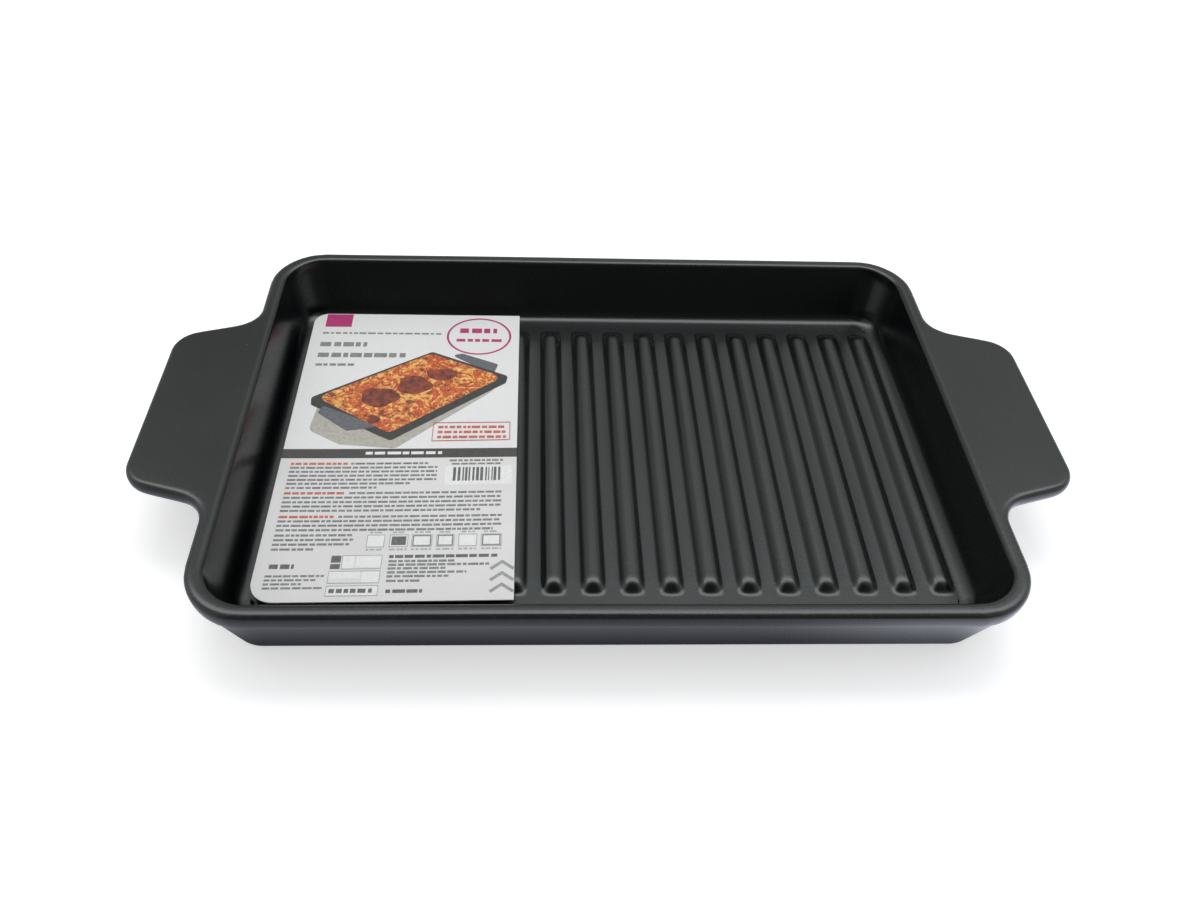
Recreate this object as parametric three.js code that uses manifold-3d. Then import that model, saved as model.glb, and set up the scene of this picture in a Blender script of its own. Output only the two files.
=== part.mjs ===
// A ribbed stoneware grill dish with two tab handles, and the retail label card that lies on its ribs.
// Millimetres, +Z up, +X along the handles. The origin is on the table, under the middle of the dish.
import * as THREE from "three";
import { mergeVertices } from "three/addons/utils/BufferGeometryUtils.js";
import Module from "manifold-3d";

const wasm = await Module();
wasm.setup();

// Driving sizes of the dish.
const OVERALL_LENGTH = 280; // over both handles
const DISH_WIDTH = 160;
const DISH_HEIGHT = 26;
const BODY_LENGTH = 229.4; // over the rim, without the handles
const RIM_CORNER_RADIUS = 18;
const RIM_BAND = 5.3; // from the outer edge of the rim to where the inner wall starts
const RIM_OVERHANG = 1.4; // how far the rim's bead stands out from the wall under it
const FLOOR_TOP = 6.8;
const OUTER_DRAFT = 8.4; // how far the outer wall leans in, from the rim to the base
const INNER_DRAFT_X = 3.6; // how far the end walls lean in on the inside
const INNER_DRAFT_Y = 5.8; // how far the long walls lean in on the inside
const INNER_CORNER_RADIUS = 11.2; // at the top of the inner wall
const FLOOR_FILLET = 3.2;
const CORNER_STEPS = 10; // straight steps round one corner
const FILLET_STEPS = 4; // straight steps up the floor's fillet

// The section of the outer wall's foot, from the table up: a small round.
const FOOT_SECTION = [
  { z: 0, inset: OUTER_DRAFT + 1.2 },
  { z: 0.4, inset: OUTER_DRAFT + 0.4 },
  { z: 1.4, inset: OUTER_DRAFT - 0.3 },
];

// The section of the rim outside its crest: a bead that overhangs the wall, then the outer half of the round.
const BEAD_SECTION = [
  { below: 6.4, inset: RIM_OVERHANG },
  { below: 4.4, inset: RIM_OVERHANG / 3 },
  { below: 3.2, inset: 0 },
  { below: 2, inset: 0 },
  { below: 0.9, inset: 0.6 },
  { below: 0.2, inset: 1.6 },
  { below: 0, inset: 2.6 },
];

// The section of the rim inside its crest, from the inner wall up.
const RIM_INNER_SECTION = [
  { below: 1.8, outward: 0 },
  { below: 0.7, outward: 0.7 },
  { below: 0, outward: 2.1 },
];

// The hollow under the base that leaves the foot ring.
const FOOT_RING_WIDTH = 8;
const FOOT_RECESS_DEPTH = 1;
const FOOT_RECESS_CORNER_RADIUS = 9;

// The two tab handles.
const HANDLE_THICKNESS = 5.4;
const HANDLE_EDGE = 1.8; // how far the rounded edge reaches in
const HANDLE_TIP_HALF_WIDTH = 32.8; // at the tip, before its corners are rounded
const HANDLE_ROOT_HALF_WIDTH = 40.1; // where its sides meet the dish
const HANDLE_TIP_RADIUS = 10;
const HANDLE_ROOT_RADIUS = 10;
const HANDLE_ROOT_OVERLAP = 7; // how far the tab reaches into the wall that it is pressed with
const HANDLE_ROOT_OFFSET = 0.1; // how far outside the rim's edge the root's corners lie
const HANDLE_BURIED_RADIUS = 2; // at the corners inside the wall
const HANDLE_CORNER_STEPS = 7;
const HANDLE_EDGE_HEIGHTS = [-1, -0.72, 0, 0.72, 1]; // of the edge's outlines, in half thicknesses

// The half-round ribs on the floor, which run across the dish. Their row sits a little right of the middle.
const RIB_COUNT = 18;
const RIB_PITCH = 11.34;
const RIB_ROW_SHIFT = 0.9;
const RIB_LENGTH = 116.4;
const RIB_WIDTH = 6.8;
const RIB_HEIGHT = 2.2;
const RIB_LEVELS = [0, 0.45, 0.8, 1]; // of the rib's outlines, as shares of its height
const RIB_CREST_SHARE = 0.14; // how wide the flat of its crest is, as a share of its width
const RIB_NOSE_SHARE = 0.998; // the radius of its round ends, as a share of half its width
const RIB_NOSE_STEPS = 3;

// The label card, and the peelable glue dots that hold it on the ribs.
const CARD_WIDTH = 73.6;
const CARD_LENGTH = 127.6;
const CARD_THICKNESS = 0.5;
const CARD_CENTRE_X = -64.2;
const CARD_CENTRE_Y = -0.4;
const CARD_CORNER_RADIUS = 6;
const CARD_CORNER_STEPS = 8;
const GLUE_DOT_RADIUS = 3.5;
const GLUE_DOT_THICKNESS = 0.6;
const GLUE_DOT_STEPS = 24;
const GLUE_DOT_REACH = 0.36; // from the card's middle to a dot, as a share of the card's length
const CONTACT_GAP = 0.3;

// How far below a surface a joined piece starts, and how far past a surface a cut runs.
const OVERRUN = 1;

const halfBody = { x: BODY_LENGTH / 2, y: DISH_WIDTH / 2 };
const ribTop = FLOOR_TOP + RIB_HEIGHT;
const cardBottom = ribTop + GLUE_DOT_THICKNESS + 2 * CONTACT_GAP;

const glaze = new THREE.MeshStandardMaterial({ color: 0x1b1c1c, roughness: 0.38, metalness: 0 });
const cardStock = new THREE.MeshStandardMaterial({ color: 0xf1f1ee, roughness: 0.6, metalness: 0 });
const tackyGlue = new THREE.MeshStandardMaterial({ color: 0xd8d3c0, roughness: 0.45, metalness: 0 });

// The outline round a list of corners that goes anticlockwise, each { x, y, radius }, with an arc at each.
// `inset` draws the outline that lies that far inside it, with the same number of points.
function roundedOutline(corners, inset = 0, steps = CORNER_STEPS) {
  const points = [];
  corners.forEach((corner, i) => {
    const before = corners.at(i - 1);
    const after = corners[(i + 1) % corners.length];
    const arriving = new THREE.Vector2(corner.x - before.x, corner.y - before.y).normalize();
    const leaving = new THREE.Vector2(after.x - corner.x, after.y - corner.y).normalize();
    const turn = Math.atan2(arriving.cross(leaving), arriving.dot(leaving));
    const { radius } = corner;
    const back = radius * Math.tan(Math.abs(turn) / 2);
    const side = Math.sign(turn);
    const centreX = corner.x - arriving.x * back - arriving.y * radius * side;
    const centreY = corner.y - arriving.y * back + arriving.x * radius * side;
    const start = Math.atan2(-arriving.x * side, arriving.y * side);
    const arc = new THREE.EllipseCurve(
      centreX, centreY, radius - inset * side, radius - inset * side, start, start + turn, turn < 0,
    );
    points.push(...arc.getPoints(steps));
  });
  return points;
}

function rectangleCorners(halfX, halfY, radius, centreX = 0, centreY = 0) {
  return [
    { x: centreX + halfX, y: centreY - halfY, radius },
    { x: centreX + halfX, y: centreY + halfY, radius },
    { x: centreX - halfX, y: centreY + halfY, radius },
    { x: centreX - halfX, y: centreY - halfY, radius },
  ];
}

// A closed solid through outlines stacked from the bottom up, each { points, z }.
function stackedSolid(levels) {
  const count = levels[0].points.length;
  const vertices = levels.flatMap(({ points, z }) => points.flatMap((p) => [p.x, p.y, z]));
  const faces = [];
  for (let level = 0; level + 1 < levels.length; level += 1) {
    for (let i = 0; i < count; i += 1) {
      const a = level * count + i;
      const b = level * count + ((i + 1) % count);
      faces.push(a, b, b + count, a, b + count, a + count);
    }
  }
  const top = levels.length - 1;
  for (const [a, b, c] of THREE.ShapeUtils.triangulateShape(levels[0].points, [])) {
    faces.push(a, c, b);
  }
  for (const [a, b, c] of THREE.ShapeUtils.triangulateShape(levels[top].points, [])) {
    faces.push(top * count + a, top * count + b, top * count + c);
  }
  const geometry = new THREE.BufferGeometry();
  geometry.setAttribute("position", new THREE.Float32BufferAttribute(vertices, 3));
  geometry.setIndex(faces);
  return geometry;
}

function toSolid(geometry) {
  const bare = geometry.clone();
  bare.deleteAttribute("normal");
  bare.deleteAttribute("uv");
  const merged = mergeVertices(bare);
  return new wasm.Manifold(
    new wasm.Mesh({
      numProp: 3,
      vertProperties: new Float32Array(merged.attributes.position.array),
      triVerts: new Uint32Array(merged.index.array),
    }),
  );
}

function toGeometry(solid) {
  const mesh = solid.getMesh();
  const geometry = new THREE.BufferGeometry();
  geometry.setAttribute("position", new THREE.BufferAttribute(mesh.vertProperties, 3));
  geometry.setIndex(new THREE.BufferAttribute(mesh.triVerts, 1));
  geometry.computeVertexNormals();
  return geometry;
}

// The outside: the foot, a straight wall that leans out, and the bead.
function outerBody() {
  const corners = rectangleCorners(halfBody.x, halfBody.y, RIM_CORNER_RADIUS);
  const bead = BEAD_SECTION.map(({ below, inset }) => ({ z: DISH_HEIGHT - below, inset }));
  const levels = [...FOOT_SECTION, ...bead].map(({ z, inset }) => ({
    z,
    points: roundedOutline(corners, inset),
  }));
  return toSolid(stackedSolid(levels));
}

// The inside: the flat floor, its fillet, the leaning walls and the inner half of the rim's round.
function cavity() {
  const wallFoot = FLOOR_TOP + FLOOR_FILLET;
  const footRadius = INNER_CORNER_RADIUS - INNER_DRAFT_X / 2;
  const level = (z, insetX, insetY, radius) => ({
    z,
    points: roundedOutline(rectangleCorners(halfBody.x - insetX, halfBody.y - insetY, radius)),
  });
  const footX = RIM_BAND + INNER_DRAFT_X;
  const footY = RIM_BAND + INNER_DRAFT_Y;
  const fillet = Array.from({ length: FILLET_STEPS }, (_, step) => {
    const angle = (step / FILLET_STEPS) * (Math.PI / 2);
    const inward = FLOOR_FILLET * (1 - Math.sin(angle));
    const z = wallFoot - FLOOR_FILLET * Math.cos(angle);
    return level(z, footX + inward, footY + inward, footRadius - inward);
  });
  const rimRound = RIM_INNER_SECTION.map(({ below, outward }) => {
    const inset = RIM_BAND - outward;
    return level(DISH_HEIGHT - below, inset, inset, INNER_CORNER_RADIUS + outward);
  });
  return toSolid(
    stackedSolid([
      ...fillet,
      level(wallFoot, footX, footY, footRadius),
      ...rimRound,
      { z: DISH_HEIGHT + OVERRUN, points: rimRound.at(-1).points },
    ]),
  );
}

// One tab handle. Its edge is rounded above and below, and its root flares into the side of the dish.
function handle(side) {
  const tip = OVERALL_LENGTH / 2;
  const root = halfBody.x + HANDLE_ROOT_OFFSET;
  const inner = halfBody.x - HANDLE_ROOT_OVERLAP;
  const flare = HANDLE_ROOT_HALF_WIDTH + 2 * HANDLE_ROOT_RADIUS;
  const corners = [
    { x: inner, y: -flare, radius: HANDLE_BURIED_RADIUS },
    { x: root, y: -flare, radius: HANDLE_BURIED_RADIUS },
    { x: root, y: -HANDLE_ROOT_HALF_WIDTH, radius: HANDLE_ROOT_RADIUS },
    { x: tip, y: -HANDLE_TIP_HALF_WIDTH, radius: HANDLE_TIP_RADIUS },
    { x: tip, y: HANDLE_TIP_HALF_WIDTH, radius: HANDLE_TIP_RADIUS },
    { x: root, y: HANDLE_ROOT_HALF_WIDTH, radius: HANDLE_ROOT_RADIUS },
    { x: root, y: flare, radius: HANDLE_BURIED_RADIUS },
    { x: inner, y: flare, radius: HANDLE_BURIED_RADIUS },
  ];
  const middle = DISH_HEIGHT - HANDLE_THICKNESS / 2;
  const edge = HANDLE_EDGE_HEIGHTS.map((height) => ({
    z: middle + (height * HANDLE_THICKNESS) / 2,
    points: roundedOutline(corners, HANDLE_EDGE * (1 - Math.sqrt(1 - height * height)), HANDLE_CORNER_STEPS),
  }));
  const tab = stackedSolid(edge);
  if (side < 0) {
    tab.rotateZ(Math.PI);
  }
  return toSolid(tab);
}

// One rib: a half-round ridge with round ends, whose foot reaches a little into the floor.
function rib(x) {
  const halfWidth = RIB_WIDTH / 2;
  const levels = RIB_LEVELS.map((share) => {
    const halfAcross = halfWidth * Math.max(Math.sqrt(1 - share * share), RIB_CREST_SHARE);
    const inward = halfWidth - halfAcross;
    const corners = rectangleCorners(halfAcross, RIB_LENGTH / 2 - inward, halfAcross * RIB_NOSE_SHARE, x);
    return { z: FLOOR_TOP + RIB_HEIGHT * share, points: roundedOutline(corners, 0, RIB_NOSE_STEPS) };
  });
  const foot = { z: FLOOR_TOP - OVERRUN, points: levels[0].points };
  return toSolid(stackedSolid([foot, ...levels]));
}

function footRecess() {
  const inset = OUTER_DRAFT + FOOT_RING_WIDTH;
  const corners = rectangleCorners(halfBody.x - inset, halfBody.y - inset, FOOT_RECESS_CORNER_RADIUS);
  return toSolid(
    stackedSolid([
      { z: -OVERRUN, points: roundedOutline(corners) },
      { z: 0, points: roundedOutline(corners) },
      { z: FOOT_RECESS_DEPTH, points: roundedOutline(corners, FOOT_RECESS_DEPTH) },
    ]),
  );
}

function ribPositions() {
  const first = RIB_ROW_SHIFT - ((RIB_COUNT - 1) / 2) * RIB_PITCH;
  return Array.from({ length: RIB_COUNT }, (_, i) => first + i * RIB_PITCH);
}

// The dish is one pressed and fired piece: body, rim, handles, ribs and foot ring.
function dish() {
  let solid = outerBody().add(handle(1)).add(handle(-1)).subtract(cavity());
  for (const x of ribPositions()) {
    solid = solid.add(rib(x));
  }
  return new THREE.Mesh(toGeometry(solid.subtract(footRecess())), glaze);
}

// A flat card with round corners on its left and square ones on its right.
function labelCard() {
  const halfX = CARD_WIDTH / 2;
  const halfY = CARD_LENGTH / 2;
  const round = CARD_CORNER_RADIUS;
  const outline = new THREE.Shape();
  outline.moveTo(halfX, -halfY);
  outline.lineTo(halfX, halfY);
  outline.lineTo(round - halfX, halfY);
  outline.absarc(round - halfX, halfY - round, round, Math.PI / 2, Math.PI);
  outline.lineTo(-halfX, round - halfY);
  outline.absarc(round - halfX, round - halfY, round, Math.PI, 1.5 * Math.PI);
  const card = new THREE.ExtrudeGeometry(outline, {
    depth: CARD_THICKNESS,
    bevelEnabled: false,
    curveSegments: CARD_CORNER_STEPS,
  });
  return new THREE.Mesh(card, cardStock);
}

function glueDot() {
  const dot = new THREE.CylinderGeometry(
    GLUE_DOT_RADIUS, GLUE_DOT_RADIUS, GLUE_DOT_THICKNESS, GLUE_DOT_STEPS,
  );
  dot.rotateX(Math.PI / 2);
  return new THREE.Mesh(dot, tackyGlue);
}

const grillDish = new THREE.Group();

const dishMesh = dish();
dishMesh.name = "dish";
grillDish.add(dishMesh);

const label = new THREE.Group();
label.position.set(CARD_CENTRE_X, CARD_CENTRE_Y, cardBottom);
grillDish.add(label);

const card = labelCard();
card.name = "label_card";
label.add(card);

// The dots sit over the ribs nearest the card's corners.
const dotRibs = ribPositions().filter((x) => Math.abs(x - CARD_CENTRE_X) < CARD_WIDTH / 2 - GLUE_DOT_RADIUS);
const dotReach = CARD_LENGTH * GLUE_DOT_REACH;
const dotPlaces = {
  glue_dot_back_left: { x: dotRibs.at(0), y: dotReach },
  glue_dot_back_right: { x: dotRibs.at(-1), y: dotReach },
  glue_dot_front_left: { x: dotRibs.at(0), y: -dotReach },
  glue_dot_front_right: { x: dotRibs.at(-1), y: -dotReach },
};
for (const [name, place] of Object.entries(dotPlaces)) {
  const dot = glueDot();
  dot.name = name;
  dot.position.set(place.x - CARD_CENTRE_X, place.y, -CONTACT_GAP - GLUE_DOT_THICKNESS / 2);
  label.add(dot);
}

export default grillDish;
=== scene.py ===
"""A black stoneware grill dish with ribs across its floor, and the printed card glued to the ribs.

Sizes are in millimetres until a mesh is made; Blender's units are metres.
"""

import math

import bpy
import numpy as np
from mathutils import Matrix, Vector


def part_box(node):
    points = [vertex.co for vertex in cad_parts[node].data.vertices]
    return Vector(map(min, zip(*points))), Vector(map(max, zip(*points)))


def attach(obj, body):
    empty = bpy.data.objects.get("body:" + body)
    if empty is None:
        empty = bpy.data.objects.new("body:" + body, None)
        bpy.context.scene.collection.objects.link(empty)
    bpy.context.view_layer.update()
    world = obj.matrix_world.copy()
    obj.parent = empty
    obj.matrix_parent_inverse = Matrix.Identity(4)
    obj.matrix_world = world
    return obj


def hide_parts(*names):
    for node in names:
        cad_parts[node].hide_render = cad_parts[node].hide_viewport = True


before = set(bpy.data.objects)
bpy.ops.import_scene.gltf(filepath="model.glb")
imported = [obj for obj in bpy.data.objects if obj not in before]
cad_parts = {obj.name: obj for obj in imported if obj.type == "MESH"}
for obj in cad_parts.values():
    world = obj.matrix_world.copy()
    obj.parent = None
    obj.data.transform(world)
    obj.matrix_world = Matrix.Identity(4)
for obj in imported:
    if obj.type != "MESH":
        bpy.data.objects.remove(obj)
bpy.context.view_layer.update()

MM = 0.001


def box_mm(node):
    """The lowest and highest corner of a frame node, in millimetres."""
    low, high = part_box(node)
    return np.array(low) / MM, np.array(high) / MM


# ---------------------------------------------------------------- sizes of the dish
TIP_X, RIM_Y, TOP_Z = box_mm("dish")[1]  # a handle's end, the rim's long side and its crest
RIM_X = 114.7  # half the length without the handles
RIM_CORNER = 18.0
RIM_BAND = 5.3  # how wide the rim is at the head of the inner wall
FLOOR_Z = 6.8
END_LEAN = 3.6  # how far the end walls lean in on the inside
SIDE_LEAN = 5.8  # how far the long walls lean in on the inside
WALL_FOOT_Z = 10.0  # the lean is measured from here up to WALL_HEAD_Z
WALL_HEAD_Z = TOP_Z - 1.8
CREASE_RADIUS = 4.2  # between floor and wall
FLOOR_CORNER = 5.62  # the inner corners' radius at the floor, then at the wall's foot and head and the crest
WALL_CORNERS = [9.4, 11.8, 14.75]
RIM_INNER_RADIUS = 2.0

BEAD_UNDER = 1.4  # how far the wall stands back under the rim's bead
BEAD_TOP_REACH = 2.6  # how far in from the edge the bead's upper round starts
CREST_MARGIN = 0.15  # a narrow flat between that and the rim's inner round
BEAD_FULLNESS = 2.4  # 2 would make the bead's upper round an ellipse
BEAD_MIDDLE_Z = TOP_Z - 2.1
BEAD_FOOT_Z = TOP_Z - 6.4
OUTER_SLOPE = 0.368  # how far the outer wall leans in for each millimetre down
OUTER_LEAN = math.pi / 2 - math.atan(OUTER_SLOPE)
WALL_END_Z = 1.0  # the outer wall's rings stop short of this height
FOOT_ROUND = 1.6
FOOT_CORNER = 8.5
RING_INNER_INSET = 16.4  # from the rim's edge in to the foot ring's inner edge
RECESS_Z = 1.0
# From the flat foot into the recess: how far inside the foot ring's inner edge, and how high.
RECESS_SECTION = [(-1.0, 0.0), (-0.6, 0.0), (0.0, 0.06), (0.4, 0.35), (0.8, 0.75), (1.4, RECESS_Z)]

HANDLE_EDGE = 1.8  # how far in a handle's half-round edge reaches
HANDLE_FOOT_Z = TOP_Z - 5.4
HANDLE_TIP_Y = 32.8  # where a handle's slanting side would meet its tip, and then the rim, without arcs
HANDLE_ROOT_Y = 40.1
HANDLE_ROUND = 10.0  # radius of both arcs
HANDLE_BLEND = 5.0  # reach at which the rim's bead has turned into the handle's edge
UNDER_ROUND = 2.5  # between a handle's underside and the wall
UNDER_END_Z = 18.0  # from here down the end walls are plain

RIB_COUNT = 18
RIB_PITCH = 11.34
RIB_ROW_SHIFT = 0.9  # the row of ribs sits this far right of the middle
RIB_HALF_WIDTH = 3.4
RIB_HEIGHT = 2.2
RIB_SPINE = 52.9  # half the length of a rib's straight ridge
NOSE_STRETCH = 0.72  # distances past the ridge's end count this much, so that the nose slopes gently
RIB_FULLNESS = 3.2  # the power of the distance that the rib falls with: more is a flatter top
FLANK_FOOT = 1.3  # roundness of the foot along a rib's flank
NOSE_FOOT = 2.6  # and ahead of its nose
NOSE_FOOT_FROM = 0.3  # the change from one to the other, as a share of the way from beside to ahead
NOSE_FOOT_TO = 0.6
RIB_FOOT = 3.9  # how far a rib's foot reaches from its ridge

PATCH_X = 101.3  # half the size of the grid that carries the ribs
PATCH_Y = 61.0
RIB_LINES = 15  # grid lines across a rib
ROW_STOPS = [0.0, 18.0, 42.0, 52.6, 59.8, PATCH_Y]  # the grid's rows change their spacing here
ROW_CELLS = [2, 44, 4, 20, 1]  # rows between one stop and the next

# How many rings follow each stretch of the dish's section.
ROUND_RINGS = 9  # the crease, the rim's inner round and the lower half of the bead
BEAD_TOP_RINGS = 12
WALL_RINGS = 6
FOOT_RINGS = 7
UNDER_RINGS = 6
BARE_RINGS = slice(-7, -5)  # the two rings that bound the flat foot, counted back from the last


# ---------------------------------------------------------------- mesh helpers
def smooth_step(value):
    """0 below 0, 1 above 1, and 3v^2 - 2v^3 between."""
    held = np.clip(value, 0.0, 1.0)
    return held * held * (3.0 - 2.0 * held)


def ramp(value, start, end):
    """0 at the start and 1 at the end, with a smooth step between; the end may be the lower one."""
    return smooth_step((value - start) / (end - start))


def bell(value, middle, width):
    """exp(-((value - middle) / width)^2)"""
    return np.exp(-(((value - middle) / width) ** 2))


def smooth_peak(a, b, blend):
    """The larger of a and b, rounded where they cross: max(a, b) + (blend - |a - b|)^2 / (4 blend)."""
    gap = np.maximum(blend - np.abs(a - b), 0.0)
    return np.maximum(a, b) + gap * gap / (4.0 * blend)


def grid_quads(rows, columns, first=0, wrap=False):
    """Quads of a grid whose points are numbered row by row; wrap joins the last column to the first."""
    last = columns if wrap else columns - 1
    row, column = np.meshgrid(np.arange(rows - 1), np.arange(last), indexing="ij")
    here = first + row * columns + column
    beside = first + row * columns + (column + 1) % columns
    quads = np.stack([here, here + columns, beside + columns, beside], axis=-1)
    return quads.reshape(-1, 4)


def border_numbers(rows, columns):
    """The numbers of a grid's border points, once round."""
    number = np.arange(rows * columns).reshape(rows, columns)
    return np.concatenate([number[0, :-1], number[:-1, -1], number[-1, :0:-1], number[:0:-1, 0]])


def make_piece(name, vertices, faces, materials, body, replaces=(), smooth=True, tints=None):
    """Puts points in millimetres and their faces into a mesh that rides on a body."""
    mesh = bpy.data.meshes.new(name)
    mesh.from_pydata((np.asarray(vertices, float) * MM).tolist(), [], faces)
    mesh.polygons.foreach_set("use_smooth", np.full(len(mesh.polygons), smooth))
    for tint, values in (tints or {}).items():
        layer = mesh.attributes.new(tint, "FLOAT", "POINT")
        layer.data.foreach_set("value", np.asarray(values, np.float32))
    for material in materials:
        mesh.materials.append(material)
    mesh.update()
    piece = bpy.data.objects.new(name, mesh)
    bpy.context.scene.collection.objects.link(piece)
    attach(piece, body)
    if replaces:
        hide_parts(*replaces)


# ---------------------------------------------------------------- the dish's surface
def patch_lines():
    """Grid lines of the ribbed floor: in x they crowd at each rib's flanks as a sine does, and in y
    they crowd at the ribs' noses and beside the handles' flared roots."""
    across = RIB_FOOT * np.sin(np.linspace(-math.pi / 2, math.pi / 2, RIB_LINES))
    centres = RIB_ROW_SHIFT + (np.arange(RIB_COUNT) - (RIB_COUNT - 1) / 2) * RIB_PITCH
    x = np.concatenate([[-PATCH_X], (centres[:, None] + across[None, :]).ravel(), [PATCH_X]])
    stretches = zip(ROW_STOPS, ROW_STOPS[1:], ROW_CELLS)
    half = np.concatenate([np.linspace(start, end, count + 1)[1:] for start, end, count in stretches])
    y = np.concatenate([-half[::-1], [0.0], half])
    return x, y


LINES_X, LINES_Y = patch_lines()
SHARES_X = (LINES_X[:-1] + PATCH_X) / (2 * PATCH_X)
SHARES_Y = (LINES_Y[:-1] + PATCH_Y) / (2 * PATCH_Y)
LOOP = 2 * (len(SHARES_X) + len(SHARES_Y))


def rounded_loop(half_x, half_y, radius):
    """A rectangle with round corners, once round from the lower left. Each side runs from the middle of
    one corner's arc to the middle of the next, and its points keep the shares of the floor's lines."""
    sides = []
    for half_long, half_deep, shares in ((half_x, half_y, SHARES_X), (half_y, half_x, SHARES_Y)):
        half_arc = radius * math.pi / 4
        straight = 2 * (half_long - radius)
        run = shares * (straight + 2 * half_arc) - half_arc
        on_straight = np.clip(run, 0, straight)
        turn = (run - on_straight) / radius
        along = on_straight - straight / 2 + radius * np.sin(turn)
        out = half_deep - radius + radius * np.cos(turn)
        sides.append((along, out))
    (along_x, out_y), (along_y, out_x) = sides
    return np.concatenate(
        [
            np.stack([along_x, -out_y], axis=1),
            np.stack([out_x, along_y], axis=1),
            np.stack([-along_x, out_y], axis=1),
            np.stack([-out_x, -along_y], axis=1),
        ]
    )


def rib_height(x, y):
    """Height above the floor: H (1 - s^p) with s^p = across^p + beyond^p, the distances across the rib and
    beyond its spine in half widths, straight on below the floor's level, with a round foot."""
    x = x - RIB_ROW_SHIFT
    last = (RIB_COUNT - 1) / 2
    nearest = np.clip(np.round(x / RIB_PITCH - 0.5) + 0.5, -last, last)
    beyond = np.maximum(np.abs(y) - RIB_SPINE, 0) * NOSE_STRETCH / RIB_HALF_WIDTH
    across = np.abs(x - nearest * RIB_PITCH) / RIB_HALF_WIDTH
    distance = (across**RIB_FULLNESS + beyond**RIB_FULLNESS) ** (1 / RIB_FULLNESS)
    fall = np.minimum(distance, 1) ** RIB_FULLNESS + RIB_FULLNESS * np.maximum(distance - 1, 0)
    ahead = beyond / (beyond + across + 1e-6)  # 0 beside the rib and 1 straight ahead of its nose
    foot = FLANK_FOOT + (NOSE_FOOT - FLANK_FOOT) * ramp(ahead, NOSE_FOOT_FROM, NOSE_FOOT_TO)
    return smooth_peak(RIB_HEIGHT * (1 - fall), np.zeros_like(fall), foot)


def handle_reach(y, inset):
    """How far a handle stands out from the rim at y, for the outline drawn that far inside it: the tip's
    line and arc, the slanting side, and the hollow arc of the root."""
    slant = math.atan2(TIP_X - RIM_X, HANDLE_ROOT_Y - HANDLE_TIP_Y)
    turn = np.linspace(0, slant, 25)
    back = HANDLE_ROUND * math.tan(slant / 2)
    tip = np.stack([np.cos(turn), np.sin(turn)]) * (HANDLE_ROUND - inset)
    root = np.stack([np.cos(turn), np.sin(turn)])[:, ::-1] * (HANDLE_ROUND + inset)
    x = np.concatenate([[TIP_X - inset], TIP_X - HANDLE_ROUND + tip[0], RIM_X + HANDLE_ROUND - root[0]])
    edge_y = np.concatenate([[0], HANDLE_TIP_Y - back + tip[1], HANDLE_ROOT_Y + back - root[1]])
    return np.maximum(np.interp(np.abs(y), edge_y, x, right=RIM_X - inset) - (RIM_X - inset), 0)


def inner_rings():
    """The flat floor's margin, the crease, the leaning wall and the inner half of the rim. Each arc meets
    its neighbours without a kink, so it is worked out from the wall's own lean."""
    rings = []
    shares = {}
    for side, lean in (("end", END_LEAN), ("side", SIDE_LEAN)):
        slope = lean / (WALL_HEAD_Z - WALL_FOOT_Z)
        upright = math.pi / 2 - math.atan(slope)

        def wall(z):
            return RIM_BAND + slope * (WALL_HEAD_Z - z)

        turn = np.linspace(0, upright, ROUND_RINGS)
        crease_z = FLOOR_Z + CREASE_RADIUS * (1 - np.cos(turn))
        crease = wall(crease_z[-1]) + CREASE_RADIUS * (math.sin(upright) - np.sin(turn))
        turn = turn[::-1]
        crest_z = TOP_Z - RIM_INNER_RADIUS * (1 - np.cos(turn))
        crest = wall(crest_z[0]) - RIM_INNER_RADIUS * (math.sin(upright) - np.sin(turn))
        wall_z = np.linspace(crease_z[-1], crest_z[0], WALL_RINGS)[1:-1]
        z = np.concatenate([crease_z, wall_z, crest_z])
        shares[side] = (np.concatenate([crease, wall(wall_z), crest]), z)
    (end_inset, end_z), (side_inset, side_z) = shares["end"], shares["side"]
    corner_z = [FLOOR_Z, WALL_FOOT_Z, WALL_HEAD_Z, TOP_Z]
    for step in range(len(end_z)):
        radius = np.interp(end_z[step], corner_z, [FLOOR_CORNER] + WALL_CORNERS)
        loop = rounded_loop(RIM_X - end_inset[step], RIM_Y - side_inset[step], radius)
        side_share = ramp(np.abs(loop[:, 1]) / RIM_Y, 2 / 3, 1)
        z = end_z[step] + (side_z[step] - end_z[step]) * side_share
        rings.append(np.column_stack([loop, z]))
    return rings


def level_ring(inset, z, extra=0.0):
    """The rim's outline that far inside it, at one height, with its ends moved out by an extra reach."""
    loop = rounded_loop(RIM_X - inset, RIM_Y - inset, max(RIM_CORNER - inset, FOOT_CORNER))
    loop[:, 0] += np.sign(loop[:, 0]) * extra
    return np.column_stack([loop, np.full(LOOP, z)])


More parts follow.
